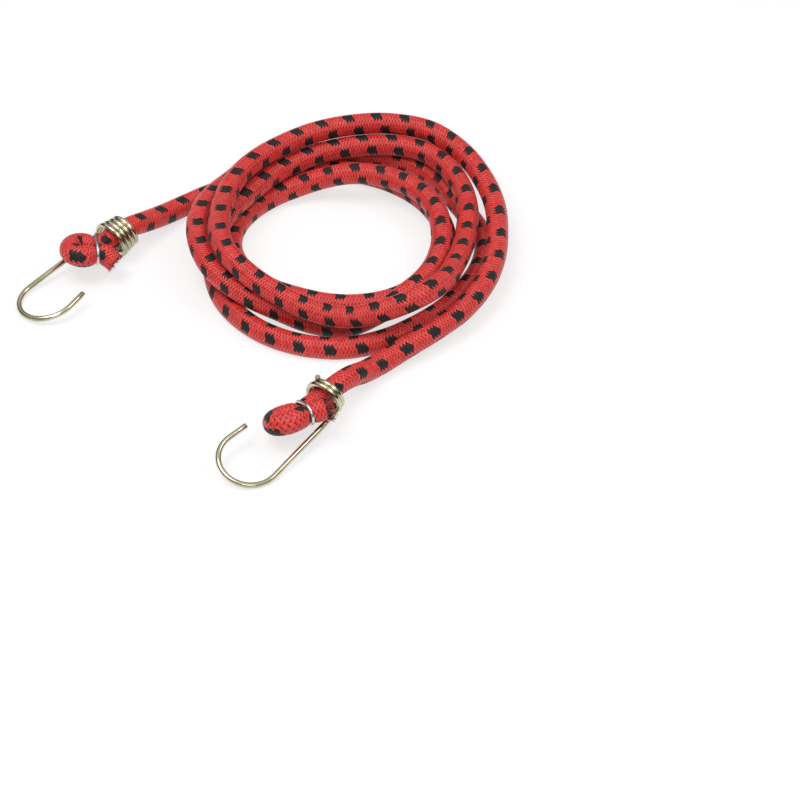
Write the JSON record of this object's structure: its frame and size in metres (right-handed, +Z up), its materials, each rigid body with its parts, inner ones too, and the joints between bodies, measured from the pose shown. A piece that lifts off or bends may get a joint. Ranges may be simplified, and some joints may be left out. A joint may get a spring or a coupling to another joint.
{
  "type": "bungee cord",
  "caption": "Elastic cord in a flecked braided sheath, laid in a loose coil, with a wire hook on each folded end to hold loads down.",
  "frame": {"origin": "on the table, under the middle of the laid-out cord's bounding box", "axes": "+Z up from the table, -Y towards the viewer of the picture, +X to the viewer's right"},
  "size_m": [0.1874, 0.1968, 0.025],
  "materials": {
    "sheath": "braided red yarn with black flecks",
    "core": "bundled latex threads",
    "hook_wire": "glossy steel wire, yellow zinc plated",
    "clip_wire": "bright zinc plated wire"
  },
  "bodies": {
    "cord": {"sheath_end_a": "sheath", "sheath_lead_a": "sheath", "sheath_coil": "sheath", "sheath_lead_b": "sheath", "sheath_end_b": "sheath", "core_end_a": "core", "core_lead_a": "core", "core_coil": "core", "core_lead_b": "core", "core_end_b": "core", "clip_a": "clip_wire", "clip_b": "clip_wire"},
    "hook_a": {"hook_a": "hook_wire"},
    "hook_b": {"hook_b": "hook_wire"}
  },
  "joints": [
    {"name": "hook_a_swivel", "type": "hinge", "parent": "cord", "child": "hook_a", "pos_m": [-0.05633, 0.03493, 0.00895], "axis": [-0.6928, -0.705, -0.1513], "range_deg": [0, 150]},
    {"name": "hook_b_swivel", "type": "hinge", "parent": "cord", "child": "hook_b", "pos_m": [0.02647, -0.05687, 0.00895], "axis": [-0.6027, -0.7854, -0.1409], "range_deg": [-95, 0]}
  ]
}
